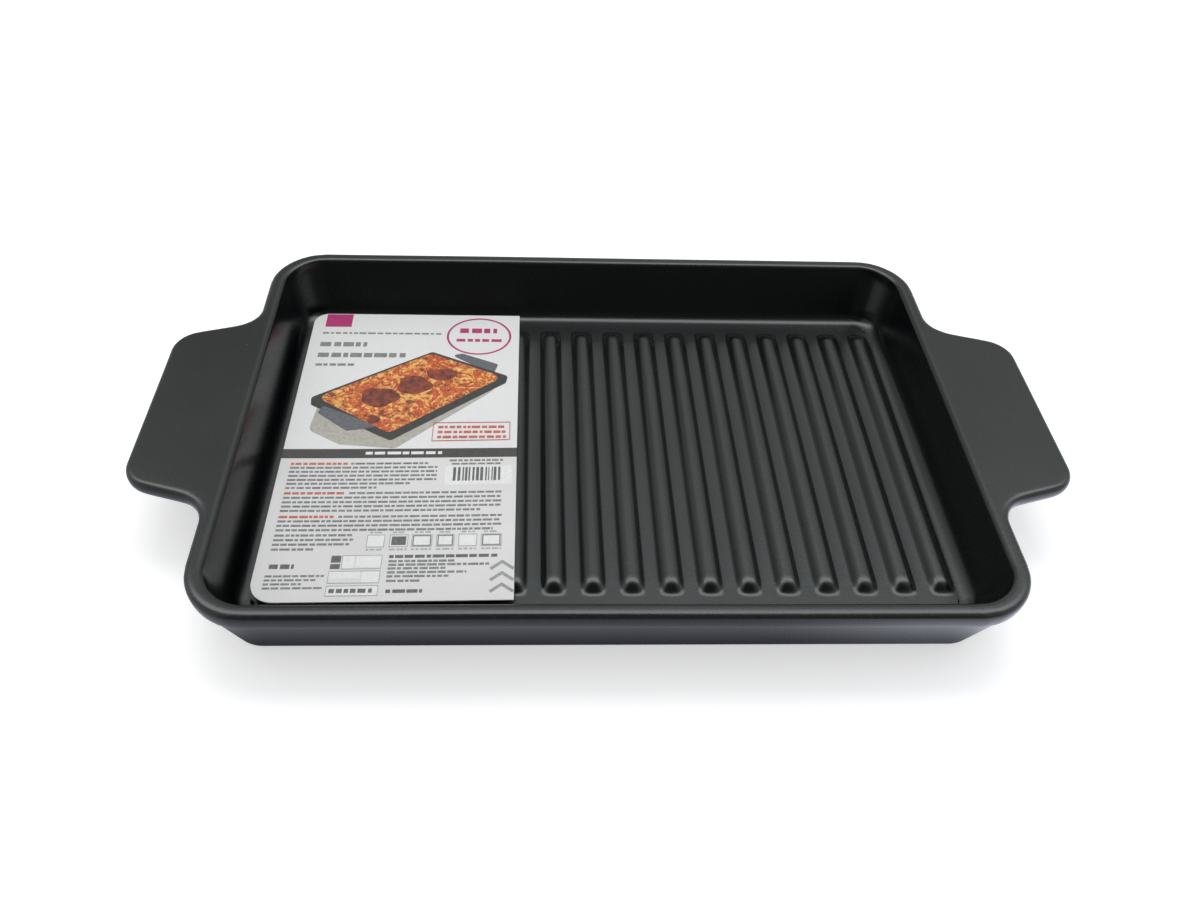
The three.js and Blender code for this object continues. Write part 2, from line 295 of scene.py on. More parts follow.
def outer_rings():
    """From the rim's crest outwards. Where a handle starts, the rim's bead turns into the handle's top,
    its half-round edge and its underside, by a share that grows with the handle's reach."""
    edge = rounded_loop(RIM_X, RIM_Y, RIM_CORNER)
    at_end = np.concatenate([np.zeros(len(SHARES_X)), np.ones(len(SHARES_Y))] * 2)
    tab = smooth_step(handle_reach(edge[:, 1], 0.0) * at_end / HANDLE_BLEND)
    top_reach = np.maximum(handle_reach(edge[:, 1], HANDLE_EDGE) * at_end - 1.0, 0) * tab

    rings = [level_ring(BEAD_TOP_REACH + CREST_MARGIN, TOP_Z)]
    for share in (0.06, 0.35, 0.7):
        rings.append(level_ring(BEAD_TOP_REACH, TOP_Z, share * top_reach))
    for turn in np.linspace(0, math.pi / 2, BEAD_TOP_RINGS):
        edge_in = 1 - math.sin(turn) ** (2 / BEAD_FULLNESS)
        reach_in = BEAD_TOP_REACH + (HANDLE_EDGE - BEAD_TOP_REACH) * tab
        z = BEAD_MIDDLE_Z + (TOP_Z - BEAD_MIDDLE_Z) * max(math.cos(turn), 0.0) ** (2 / BEAD_FULLNESS)
        rings.append(outward_ring(reach_in * edge_in, z, at_end))
    for turn in np.linspace(math.pi / 2, math.pi, ROUND_RINGS)[1:]:
        edge_in = 1 - math.sin(turn)
        reach_in = BEAD_UNDER + (HANDLE_EDGE - BEAD_UNDER) * tab
        foot_z = BEAD_FOOT_Z + (HANDLE_FOOT_Z - BEAD_FOOT_Z) * tab
        z = BEAD_MIDDLE_Z + (BEAD_MIDDLE_Z - foot_z) * math.cos(turn)
        rings.append(outward_ring(reach_in * edge_in, z, at_end))
    rings += under_rings(rings[-1], tab)
    for z in np.linspace(UNDER_END_Z, WALL_END_Z, WALL_RINGS)[1:-1]:
        rings.append(level_ring(wall_inset(z), z))
    foot_z = FOOT_ROUND * (1 - math.cos(OUTER_LEAN))
    centre = wall_inset(foot_z) + FOOT_ROUND * math.sin(OUTER_LEAN)
    for turn in np.linspace(OUTER_LEAN, 0, FOOT_RINGS):
        rings.append(level_ring(centre - FOOT_ROUND * math.sin(turn), FOOT_ROUND * (1 - math.cos(turn))))
    for further in (0.5, 0.8):
        rings.append(level_ring(centre + further, 0.0))
    for further, z in RECESS_SECTION:
        rings.append(level_ring(RING_INNER_INSET + further, z))
    return rings


def wall_inset(z):
    """How far inside the rim the outer wall stands at a height below the bead."""
    return BEAD_UNDER + OUTER_SLOPE * (BEAD_FOOT_Z - z)


def outward_ring(insets, z, at_end):
    """One ring whose inset changes from point to point, with the handle's outline taken at that inset."""
    outer = rounded_loop(RIM_X, RIM_Y, RIM_CORNER)
    deep = rounded_loop(RIM_X - 1.0, RIM_Y - 1.0, RIM_CORNER - 1.0)
    loop = outer + (deep - outer) * np.asarray(insets)[:, None]
    whole = handle_reach(outer[:, 1], 0.0)
    inner = handle_reach(outer[:, 1], 1.0)
    reach = np.maximum(whole + (inner - whole) * insets, 0) * at_end
    loop[:, 0] += np.sign(loop[:, 0]) * reach
    return np.column_stack([loop, np.broadcast_to(z, LOOP)])


def under_rings(start, tab):
    """The handle's flat underside and the round that takes it down into the wall; away from the handles
    the same rings just go down the wall under the bead."""
    end_z = HANDLE_FOOT_Z - UNDER_ROUND * (1 - math.cos(OUTER_LEAN))
    centre_in = wall_inset(end_z) - UNDER_ROUND * math.sin(OUTER_LEAN)
    hollow = []
    for turn in np.linspace(0, OUTER_LEAN, UNDER_RINGS):
        z = HANDLE_FOOT_Z - UNDER_ROUND * (1 - math.cos(turn))
        hollow.append(level_ring(centre_in + UNDER_ROUND * math.sin(turn), z))
    halfway = (start + hollow[0]) / 2
    handle_path = [halfway] + hollow + [level_ring(wall_inset(UNDER_END_Z), UNDER_END_Z)]
    wall_z = np.linspace(BEAD_FOOT_Z, UNDER_END_Z, len(handle_path) + 1)[1:]
    rings = []
    for under_handle, z in zip(handle_path, wall_z):
        under_bead = level_ring(wall_inset(z), z)
        rings.append(under_bead + (under_handle - under_bead) * tab[:, None])
    return rings


def floor_patch():
    """The grid that carries the ribs: rows in y, columns in x."""
    x, y = np.meshgrid(LINES_X, LINES_Y)
    return np.stack([x, y, FLOOR_Z + rib_height(x, y)], axis=-1)


def fired_waver(points):
    """The unevenness of a pressed and fired piece: slow waves of under 0.1 mm, which fade to none at the
    foot."""
    x, y, z = points.T
    z += 0.05 * np.sin(x / 17 + 1.3) * np.cos(y / 23) * np.clip(z / TOP_Z, 0, 1)
    share = np.clip(z / TOP_Z, 0, 1)
    x += 0.06 * np.sin(y / 14 + 0.4) * share
    y += 0.08 * np.sin(x / 21 + 2.1) * share
    return points


def dish_surface():
    """The whole skin of the dish: the ribbed patch, then rings from its border over the wall, the rim and
    the handles, down the outside and under the foot, closed by one flat face in the recess."""
    patch = floor_patch()
    rows, columns = patch.shape[:2]
    border = border_numbers(rows, columns)
    rings = inner_rings()
    crest = len(rings)
    rings += outer_rings()
    points = np.concatenate([patch.reshape(-1, 3)] + rings)
    first = rows * columns
    quads = grid_quads(rows, columns)[:, ::-1]
    own = np.arange(LOOP)
    after = np.roll(own, -1)
    joins = np.stack([border, first + own, first + after, border[after]], axis=1)
    ring_quads = grid_quads(len(rings), LOOP, first, wrap=True)
    faces = quads.tolist() + joins.tolist() + ring_quads.tolist()
    faces.append((first + (len(rings) - 1) * LOOP + own[::-1]).tolist())
    return fired_waver(points), faces, first, crest, len(rings)


# ---------------------------------------------------------------- node helpers
class Nodes:
    """A material's node tree, with short ways to add nodes and join them."""

    def __init__(self, name):
        self.material = bpy.data.materials.new(name)
        self.material.use_nodes = True
        self.tree = self.material.node_tree
        self.shader = next(n for n in self.tree.nodes if n.type == "BSDF_PRINCIPLED")
        self.place = self.add("ShaderNodeTexCoord").outputs["Object"]

    def add(self, kind, inputs=None, **settings):
        """A new node with its settings and its inputs, each a value or another node's output."""
        node = self.tree.nodes.new(kind)
        for key, value in settings.items():
            setattr(node, key, value)
        for key, value in (inputs or {}).items():
            self.set(node.inputs[key], value)
        return node

    def set(self, socket, value):
        """Joins another node's output to the socket, or gives it a value."""
        if isinstance(value, bpy.types.NodeSocket):
            self.tree.links.new(value, socket)
        else:
            socket.default_value = value

    def noise(self, scale, detail=3.0, rough=0.55, swirl=0.0):
        """Cloudy noise in the object's own space, about 0.5 in the mean."""
        inputs = {"Vector": self.place, "Scale": scale, "Detail": detail, "Roughness": rough}
        inputs["Distortion"] = swirl
        return self.add("ShaderNodeTexNoise", inputs).outputs["Fac"]

    def remap(self, value, low, high, out_low=0.0, out_high=1.0):
        """Takes low to out_low and high to out_high, and holds the value between them."""
        inputs = {0: value, 1: low, 2: high, 3: out_low, 4: out_high}
        return self.add("ShaderNodeMapRange", inputs).outputs[0]

    def math(self, operation, a, b=0.0):
        return self.add("ShaderNodeMath", {0: a, 1: b}, operation=operation).outputs[0]

    def mix(self, share, a, b):
        """Colour a where the share is 0 and colour b where it is 1."""
        node = self.add("ShaderNodeMix", data_type="RGBA")
        self.set(node.inputs[0], share)
        self.set(node.inputs[6], a)
        self.set(node.inputs[7], b)
        return node.outputs[2]

    def attribute(self, name):
        return self.add("ShaderNodeAttribute", attribute_name=name).outputs["Fac"]

    def bump(self, height, distance, strength=1.0, normal=None):
        """Fine relief, on top of another bump if its normal is given."""
        inputs = {"Height": height, "Distance": distance, "Strength": strength}
        if normal is not None:
            inputs["Normal"] = normal
        return self.add("ShaderNodeBump", inputs).outputs["Normal"]


def rgb(red, green, blue):
    """A colour with its alpha."""
    return (red, green, blue, 1.0)


# ---------------------------------------------------------------- materials
def black_glaze():
    """Satin black glaze, browner where it is thin on an edge, with a fine orange peel, a few dust specks
    and the bare fired clay of the foot ring."""
    nodes = Nodes("black_glaze")
    cloudy = nodes.noise(55.0, 4.0)
    fine = nodes.noise(900.0, 2.0)
    grit = nodes.noise(3600.0, 2.0, 0.7)
    black = rgb(0.0008, 0.0022, 0.0028)
    paler = rgb(0.0018, 0.0032, 0.0038)
    deep = nodes.mix(nodes.remap(cloudy, 0.3, 0.7), black, paler)
    thin = nodes.math("MULTIPLY", nodes.attribute("thin_glaze"), nodes.remap(fine, 0.3, 0.7, 0.6, 1.0))
    glazed = nodes.mix(thin, deep, rgb(0.017, 0.0185, 0.0150))
    cells = nodes.add("ShaderNodeTexVoronoi", {"Vector": nodes.place, "Scale": 95.0})
    near = nodes.remap(cells.outputs["Distance"], 0.022, 0.012)
    lucky = nodes.add("ShaderNodeSeparateColor", {"Color": cells.outputs["Color"]}).outputs[0]
    speck = nodes.math("MULTIPLY", near, nodes.remap(lucky, 0.80, 0.84))
    specked = nodes.mix(nodes.math("MULTIPLY", speck, 0.5), glazed, rgb(0.35, 0.35, 0.34))
    clay = nodes.mix(nodes.remap(grit, 0.35, 0.65), rgb(0.075, 0.058, 0.045), rgb(0.13, 0.10, 0.08))
    bare = nodes.attribute("bare_clay")
    nodes.set(nodes.shader.inputs["Base Color"], nodes.mix(bare, specked, clay))
    satin = nodes.remap(nodes.noise(24.0, 5.0), 0.3, 0.7, 0.22, 0.28)
    satin = nodes.math("ADD", satin, nodes.remap(grit, 0.3, 0.7, -0.02, 0.03))
    satin = nodes.math("MAXIMUM", satin, nodes.math("MULTIPLY", bare, 0.85))
    nodes.set(nodes.shader.inputs["Roughness"], satin)
    peel = nodes.bump(fine, 0.00004, 0.5)
    nodes.set(nodes.shader.inputs["Normal"], nodes.bump(grit, 0.000015, 0.5, peel))
    return nodes.material


def card_stock():
    """Coated white card, with a grey tint printed over its lower half and faint fibres."""
    nodes = Nodes("card_stock")
    fibres = nodes.noise(1800.0, 3.0)
    cloudy = nodes.noise(40.0, 3.0)
    white = nodes.mix(nodes.remap(fibres, 0.3, 0.7), rgb(0.80, 0.80, 0.80), rgb(0.86, 0.86, 0.855))
    grey = nodes.mix(nodes.remap(cloudy, 0.3, 0.7), rgb(0.73, 0.725, 0.715), rgb(0.78, 0.775, 0.765))
    nodes.set(nodes.shader.inputs["Base Color"], nodes.mix(nodes.attribute("lower_panel"), white, grey))
    nodes.set(nodes.shader.inputs["Roughness"], nodes.remap(cloudy, 0.3, 0.7, 0.38, 0.48))
    nodes.set(nodes.shader.inputs["Normal"], nodes.bump(fibres, 0.00001, 0.6))
    return nodes.material


def printed_ink(name, dark, light, scale=900.0, rough=0.42):
    """Ink on the card: two close shades in a fine grain."""
    nodes = Nodes(name)
    grain = nodes.remap(nodes.noise(scale, 3.0), 0.35, 0.65)
    nodes.set(nodes.shader.inputs["Base Color"], nodes.mix(grain, rgb(*dark), rgb(*light)))
    nodes.set(nodes.shader.inputs["Roughness"], nodes.remap(grain, 0.0, 1.0, rough - 0.03, rough + 0.03))
    return nodes.material


def tacky_glue():
    """Cloudy, slightly yellow peelable glue."""
    nodes = Nodes("tacky_glue")
    cloudy = nodes.noise(700.0, 3.0)
    colour = nodes.mix(nodes.remap(cloudy, 0.3, 0.7), rgb(0.60, 0.55, 0.42), rgb(0.74, 0.70, 0.58))
    nodes.set(nodes.shader.inputs["Base Color"], colour)
    nodes.shader.inputs["Transmission Weight"].default_value = 0.25
    nodes.set(nodes.shader.inputs["Roughness"], nodes.remap(cloudy, 0.3, 0.7, 0.3, 0.45))
    nodes.set(nodes.shader.inputs["Normal"], nodes.bump(cloudy, 0.00005, 0.5))
    return nodes.material


# ---------------------------------------------------------------- the dish
def make_dish():
    """The skin with its two tints. The glaze is thin by 0.9 exp(-((r - 11) / 4)^2) on the bead and by
    0.5 exp(-((r + 4) / 2.5)^2) inside it, where r counts the rings outwards from the rim's crest."""
    points, faces, first, crest, ring_count = dish_surface()
    thin = np.zeros(len(points))
    ridge = (points[:first, 2] - FLOOR_Z) / RIB_HEIGHT
    thin[:first] = 0.35 * ramp(ridge, 0.6, 1.0)
    outward = np.arange(ring_count) - crest
    thin[first:] = np.repeat(0.9 * bell(outward, 11, 4.0) + 0.5 * bell(outward, -4, 2.5), LOOP)
    on_foot = np.zeros(ring_count)
    on_foot[BARE_RINGS] = 1.0
    bare = np.zeros(len(points))
    bare[first:] = np.repeat(on_foot, LOOP)
    tints = {"thin_glaze": thin, "bare_clay": bare}
    make_piece("dish_skin", points, faces, [black_glaze()], "dish", ["dish"], tints=tints)


make_dish()


# ---------------------------------------------------------------- the card
card_low, card_high = box_mm("label_card")
CARD_WIDE = card_high[0] - card_low[0]
CARD_LONG = card_high[1] - card_low[1]
CARD_THICK = 0.4
CARD_TOP_Z = card_high[2]
BACK_ROUND = 5.0
FRONT_ROUND = 7.0
CORNER_LIFT = 1.4
LIFT_END = 85.0  # how far from the back edge the lift is at its full height
LIFT_POWER = 1.3
PANEL_START = 72.6  # from the card's back edge to where its grey lower panel starts
PANEL_FADE = 0.05


def card_point(u, v, above=0.0):
    """A place on the card: u to the right and v to the front from its back left corner. The card's front
    right corner stands up, by a share that grows with u and with v, and a slow wave of 0.1 mm crosses it."""
    rise = CORNER_LIFT * np.clip(u / CARD_WIDE, 0, 1) ** LIFT_POWER * ramp(v, 0, LIFT_END)
    wave = 0.10 * np.sin(v / 19.0) * np.sin(u / 24.0)
    return np.stack([card_low[0] + u, card_high[1] - v, CARD_TOP_Z + rise + wave + above], axis=-1)


def closed_sheet(u, v, top, bottom):
    """A sheet over a grid of places on the card, from bottom to top above its face, closed all round."""
    rows, columns = u.shape
    count = rows * columns
    points = np.concatenate([card_point(u, v, above).reshape(-1, 3) for above in (top, bottom)])
    border = border_numbers(rows, columns)
    after = np.roll(border, -1)
    upper = grid_quads(rows, columns)
    walls = np.stack([border, after, after + count, border + count], axis=1)
    faces = np.concatenate([upper, upper[:, ::-1] + count, walls])
    return points, faces


def facing_out(points, faces):
    """The same faces, turned if they enclose a negative volume."""
    a, b, c, d = (points[faces[:, k]] for k in range(4))
    volume = np.einsum("ij,ij->", a, np.cross(b, c)) + np.einsum("ij,ij->", a, np.cross(c, d))
    return faces if volume > 0 else faces[:, ::-1]


def joined(parts):
    """Several closed shapes as one set of points and faces, each facing outwards."""
    points = []
    faces = []
    first = 0
    for part_points, part_faces in parts:
        centred = part_points - part_points.mean(axis=0)
        faces.append(facing_out(centred, part_faces) + first)
        points.append(part_points)
        first += len(part_points)
    return np.concatenate(points), np.concatenate(faces).tolist()


def card_grid():
    """Rows run from the card's left edge to its right. Near the back and front the left edge follows a
    quarter circle, and rows crowd there."""
    ends = 1 - np.cos(np.linspace(0, math.pi / 2, 11))
    v = np.concatenate(
        [
            BACK_ROUND * ends,
            np.linspace(BACK_ROUND, PANEL_START - PANEL_FADE, 26)[1:],
            np.linspace(PANEL_START + PANEL_FADE, CARD_LONG - FRONT_ROUND, 20),
            (CARD_LONG - FRONT_ROUND * ends[::-1])[1:],
        ]
    )
    back = BACK_ROUND - np.sqrt(np.maximum(BACK_ROUND**2 - np.maximum(BACK_ROUND - v, 0) ** 2, 0))
    near = np.maximum(v - (CARD_LONG - FRONT_ROUND), 0)
    front = FRONT_ROUND - np.sqrt(np.maximum(FRONT_ROUND**2 - near**2, 0))
    left = (back + front)[:, None]
    share = np.linspace(0, 1, 31)[None, :]
    u = left + (CARD_WIDE - left) * share
    return u, np.broadcast_to(v[:, None], u.shape)


def make_card():
    """The card's sheet, with a share of 1 for the grey tint on its lower panel."""
    u, v = card_grid()
    points, faces = joined([closed_sheet(u, v, 0.0, -CARD_THICK)])
    panel = np.tile((v > PANEL_START).astype(float).ravel(), 2)
    tints = {"lower_panel": panel}
    card = [card_stock()]
    make_piece("printed_card", points, faces, card, "label", ["label_card"], False, tints)


make_card()


# ---------------------------------------------------------------- what is printed on the card
# Places on the card are in millimetres to the right and to the front of its back left corner.
INK_UNDER = -0.03  # printed shapes start just inside the card
INK_STEP = 0.03  # and each layer of them stands this much higher
CELL = 5.0  # the longest cell of a printed shape, so that it follows the card's bend
SMALL_PRINT = (0.8, 2.2, 0.4)  # height of its rows, usual length of a word and gap between words
ONCE_ROUND = np.linspace(0, 2 * math.pi, 73)[:-1]
BOXES = [(30.6, 35.6), (37.2, 42.4), (43.6, 49.4), (50.8, 55.8), (57.2, 62.4), (63.8, 69.6)]
BOX_BACK = 103.9
BOX_FRONT = 108.3


def printed_block(u0, v0, u1, v1, layer=1):
    """A rectangle of ink."""
    across = np.linspace(u0, u1, 1 + max(1, math.ceil((u1 - u0) / CELL)))
    down = np.linspace(v0, v1, 1 + max(1, math.ceil((v1 - v0) / CELL)))
    v, u = np.meshgrid(down, across, indexing="ij")
    return closed_sheet(u, v, layer * INK_STEP, INK_UNDER)


def refined(path):
    """The closed path with points added so that no step is longer than a cell."""
    path = np.asarray(path, float)
    loop = np.concatenate([path, path[:1]])
    lengths = np.linalg.norm(np.diff(loop, axis=0), axis=1)
    cells = np.maximum(np.ceil(lengths / (CELL / 2)), 1).astype(int)
    place = np.concatenate([k + np.arange(n) / n for k, n in enumerate(cells)])
    number = np.arange(len(loop))
    return np.stack([np.interp(place, number, loop[:, 0]), np.interp(place, number, loop[:, 1])], axis=1)


def printed_line(path, width, layer=1, closed=False):
    """A line of ink of even width along a path: each point is moved half the width along the normal, and
    a four-sided section is carried along."""
    path = np.asarray(path, float)
    if closed:
        ahead = np.roll(path, -1, axis=0) - path
        behind = path - np.roll(path, 1, axis=0)
    else:
        ahead = np.diff(path, axis=0, append=path[-1:] * 2 - path[-2:-1])
        behind = np.diff(path, axis=0, prepend=path[:1] * 2 - path[1:2])
    ahead = ahead / np.linalg.norm(ahead, axis=1, keepdims=True)
    behind = behind / np.linalg.norm(behind, axis=1, keepdims=True)
    along = ahead + behind
    along = along / np.linalg.norm(along, axis=1, keepdims=True)
    stretch = 1 / np.maximum(np.sum(along * ahead, axis=1, keepdims=True), 0.3)
    normal = np.stack([-along[:, 1], along[:, 0]], axis=1) * stretch * width / 2
    if not closed:
        edges = np.stack([path - normal, path + normal], axis=1)
        return closed_sheet(edges[:, :, 0], edges[:, :, 1], layer * INK_STEP, INK_UNDER)
    sides = ((-1, layer * INK_STEP), (-1, INK_UNDER), (1, INK_UNDER), (1, layer * INK_STEP))
    section = [card_point(*(path + side * normal).T, height) for side, height in sides]
    points = np.stack(section, axis=1)
    points = np.concatenate([points, points[:1]])
    count = len(path)
    faces = grid_quads(count + 1, 4, wrap=True) % (count * 4)
    return points[:-1].reshape(-1, 3), faces


def printed_shape(path, layer=1, rings=8):
    """A filled shape of ink: the closed path, drawn smaller and smaller towards its middle."""
    path = refined(path)
    middle = (path.min(axis=0) + path.max(axis=0)) / 2
    shares = np.linspace(1, 0, rings + 1)[:-1]
    loops = middle + (path - middle)[None, :, :] * shares[:, None, None]
    u = np.concatenate([loops[:, :, 0].ravel(), [middle[0]]])
    v = np.concatenate([loops[:, :, 1].ravel(), [middle[1]]])
    count = len(path)
    total = len(u)
    upper = grid_quads(rings, count, wrap=True)
    own = (rings - 1) * count + np.arange(count)
    hub = np.full(count, total - 1)
    caps = np.stack([own, hub, hub, np.roll(own, -1)], axis=1)
    upper = np.concatenate([upper, caps])
    edge = np.arange(count)
    after = np.roll(edge, -1)
    walls = np.stack([edge, after, after + total, edge + total], axis=1)
    points = np.concatenate([card_point(u, v, layer * INK_STEP), card_point(u, v, INK_UNDER)])
    return points, np.concatenate([upper, upper[:, ::-1] + total, walls])


def rounded_path(corners, radius, steps=6):
    """A closed path round corners, with an arc of the given radius at each."""
    corners = np.asarray(corners, float)
    before = np.roll(corners, 1, axis=0)
    after = np.roll(corners, -1, axis=0)
    path = []
    for corner, back, on in zip(corners, before, after):
        arriving = (corner - back) / np.linalg.norm(corner - back)
        leaving = (on - corner) / np.linalg.norm(on - corner)
        turn = math.acos(np.clip(arriving @ leaving, -1, 1))
        reach = radius * math.tan(turn / 2)
        share = np.linspace(0, 1, steps + 1)[:, None]
        start = corner - arriving * reach
        end = corner + leaving * reach
        path.append((1 - share) ** 2 * start + 2 * share * (1 - share) * corner + share**2 * end)
    return np.concatenate(path)


def make_print(name, parts, dark, light, scale=900.0):
    """One piece from all the shapes that share an ink."""
    ink = printed_ink(name, dark, light, scale)
    points, faces = joined(parts)
    make_piece(name, points, faces, [ink], "label", smooth=False)


draw = np.random.default_rng(7)


def word_row(u0, u1, v, height, word=2.2, gap=0.5, layer=1):
    """A row of plain bars that stand for a line of small print."""
    blocks = []
    u = u0
    while u < u1 - 0.4:
        length = min(word * draw.uniform(0.45, 1.4), u1 - u)
        blocks.append(printed_block(u, v - height / 2, u + length, v + height / 2, layer))
        u += length + gap * draw.uniform(0.7, 1.3)
    return blocks


def box_outline(u0, v0, u1, v1):
    """The corners of a box, once round."""
    return [(u0, v0), (u1, v0), (u1, v1), (u0, v1)]


def small_rows(rows, start, first_start=None, sizes=SMALL_PRINT):
    """Rows of small print, each given by its place down the card and its right end. The first may start
    further right, after a red heading."""
    blocks = []
    for number, (v, end) in enumerate(rows):
        own_start = first_start if first_start and number == 0 else start
        blocks += word_row(own_start, end, v, *sizes)
    return blocks


def print_pink():
    """The plain block in the back left corner, and the ring at the back right."""
    ring = np.stack([59.3 + 11.1 * np.cos(ONCE_ROUND), 12.0 + 9.9 * np.sin(ONCE_ROUND)], axis=1)
    pink = [printed_block(4.2, 0.3, 13.5, 7.4)]
    pink.append(printed_line(ring, 0.75, closed=True))
    pink += word_row(52.4, 66.6, 8.9, 2.6, 3.0, 0.9)
    pink += word_row(51.4, 67.4, 14.3, 1.5, 2.6, 0.8)
    make_print("print_pink", pink, (0.42, 0.012, 0.13), (0.50, 0.02, 0.17))


def print_headings():
    """Two large rows, a small one over them and a middling one under them."""
    rows = word_row(3.9, 20.2, 17.1, 2.3, 3.6, 0.9)
    rows += word_row(3.9, 34.2, 22.9, 2.3, 3.6, 0.9)
    rows += word_row(3.9, 45.8, 10.9, 0.9, 2.0, 0.6)
    rows += word_row(3.9, 17.2, 28.0, 1.2, 2.2, 0.6)
    make_print("print_heading", rows, (0.20, 0.195, 0.185), (0.27, 0.26, 0.25))


def print_picture():
    """The picture of a served dish: its shadow, handles and tray, then the food and the lumps on it."""
    shade = [(8.0, 47.0), (70.0, 37.0), (35.0, 68.5), (17.0, 66.5), (6.5, 60.0)]
    left_tab = [(9.4, 48.6), (28.6, 58.4), (25.0, 59.4), (18.6, 60.4), (8.2, 52.0)]
    right_tab = [(50.0, 22.6), (54.0, 21.8), (66.6, 27.4), (65.0, 32.6)]
    body = [(43.4, 21.0), (70.0, 33.6), (69.4, 37.2), (33.2, 65.0), (29.0, 62.6), (5.4, 48.2), (5.0, 44.6)]
    tray = np.array([(43.4, 21.3), (69.6, 34.0), (32.2, 62.4), (5.6, 44.8)])
    middle = np.mean(tray, axis=0)
    food = middle + (tray - middle) * 0.965
    shade_shape = printed_shape(rounded_path(shade, 3.0), 1)
    make_print("print_shade", [shade_shape], (0.40, 0.38, 0.33), (0.50, 0.48, 0.42))
    tabs = [printed_shape(rounded_path(left_tab, 1.0), 4), printed_shape(rounded_path(right_tab, 1.2), 2)]
    make_print("print_tabs", tabs, (0.085, 0.09, 0.10), (0.13, 0.135, 0.15))
    tray_shape = printed_shape(rounded_path(body, 1.6), 3)
    make_print("print_tray", [tray_shape], (0.014, 0.0145, 0.014), (0.03, 0.03, 0.029))
    make_food([printed_shape(rounded_path(food, 2.8), 5)])
    balls = [(38.6, 38.6, 5.8, 4.6), (27.6, 44.6, 6.4, 4.6), (47.6, 33.0, 5.2, 3.0), (26.6, 55.2, 2.2, 2.0)]
    meat = []
    for u, v, half_wide, half_long in balls:
        lumps = 1 + 0.07 * np.sin(3 * ONCE_ROUND + u) + 0.05 * np.sin(5 * ONCE_ROUND + v)
        across = u + half_wide * lumps * np.cos(ONCE_ROUND)
        down = v + half_long * lumps * np.sin(ONCE_ROUND)
        meat.append(printed_shape(np.stack([across, down], axis=1), 6, 4))
    make_print("print_meat", meat, (0.06, 0.008, 0.004), (0.30, 0.045, 0.012), 420.0)


def print_red():
    """The outlined note beside the picture, and the red heads of the lower panel's paragraphs."""
    note = [(46.4, 56.9), (71.2, 56.7), (71.2, 64.9), (46.4, 65.2)]
    red = [printed_line(note, 0.25, 5, closed=True)]
    for v in (58.9, 61.2, 63.5):
        red += word_row(48.0, 70.0, v, 1.0, 2.0, 0.5, 5)
    for v, end in ((75.0, 21.0), (87.3, 22.0), (96.7, 20.0)):
        red += word_row(3.4, end, v, 0.95, 2.0, 0.4)
    make_print("print_red", red, (0.50, 0.10, 0.07), (0.60, 0.16, 0.11))


def print_band():
    """The dark band between the card's upper and lower halves."""
    band = [printed_block(0.0, 68.6, CARD_WIDE, PANEL_START)]
    make_print("print_band", band, (0.030, 0.028, 0.024), (0.045, 0.042, 0.036))


def print_small():
    """The lower panel's paragraphs, each row with its place down the card and its right end."""
    first = [(75.0, 46.0), (76.7, 49.0), (78.4, 49.0), (80.1, 49.0), (81.8, 49.0), (83.4, 41.0), (85.1, 31.0)]
    second = [(87.3, 69.5), (89.1, 69.0), (90.9, 69.5), (92.6, 69.0), (94.3, 63.0)]
    third = [(96.7, 69.5), (98.4, 69.0), (100.1, 69.5), (101.8, 67.0)]
    beside_boxes = [(103.8, 26.5), (105.5, 26.5), (107.2, 26.0), (109.0, 16.0)]
    address = [(118.6, 20.0), (120.0, 18.0), (121.4, 14.0), (122.8, 20.0)]
    column = [(113.6, 57.0), (114.9, 67.0), (116.2, 54.0), (117.6, 60.0), (119.0, 55.0), (120.6, 47.0)]
    small = small_rows(first, 3.4, 22.0)
    small += small_rows(second, 3.4, 23.0)
    small += small_rows(third, 3.4, 21.0)
    small += small_rows(beside_boxes, 3.4)
    small += small_rows(address, 3.4, sizes=(0.7, 2.0, 0.4))
    small += small_rows(column, 37.6)
    small += word_row(52.6, 70.0, 73.9, 0.8, 1.8, 0.4)
    small += word_row(53.4, 68.6, 75.4, 0.7, 1.8, 0.4)
    make_print("print_small", small, (0.15, 0.15, 0.15), (0.25, 0.25, 0.25))


def print_white():
    """The patch under the stripes, the bars on the dark band, and the boxes."""
    white = [printed_block(51.6, 76.4, 72.4, 84.2)]
    white += word_row(26.0, 50.0, 70.5, 1.2, 3.2, 0.7, 2)
    for u0, u1 in BOXES:
        white.append(printed_block(u0, BOX_BACK, u1, BOX_FRONT))
    for u0, v0, u1, v1 in (
        (24.4, 111.4, 27.8, 116.2),
        (28.4, 111.4, 35.6, 115.6),
        (21.2, 117.0, 30.0, 119.6),
        (30.6, 117.0, 35.6, 121.2),
        (21.2, 122.2, 35.6, 125.6),
    ):
        white.append(printed_block(u0, v0, u1, v1))
    make_print("print_white", white, (0.80, 0.80, 0.80), (0.88, 0.88, 0.88))


def print_outlines():
    """Thin lines round the boxes. The boxes in a row also have a short row of print over and under each."""
    lines = []
    for u0, u1 in BOXES:
        lines.append(printed_line(box_outline(u0, BOX_BACK, u1, BOX_FRONT), 0.22, 3, closed=True))
        lines += word_row(u0 + 0.6, u1 - 0.6, BOX_BACK - 1.0, 0.6, 1.6, 0.4)
        lines += word_row(u0, u1, BOX_FRONT + 1.0, 0.6, 1.6, 0.4)
    lower_boxes = [(24.4, 111.4, 35.6, 116.2), (21.2, 117.0, 35.6, 121.2), (21.2, 122.2, 35.6, 125.6)]
    for box in lower_boxes:
        lines.append(printed_line(box_outline(*box), 0.2, 3, closed=True))
    make_print("print_outlines", lines, (0.36, 0.36, 0.36), (0.44, 0.44, 0.44))


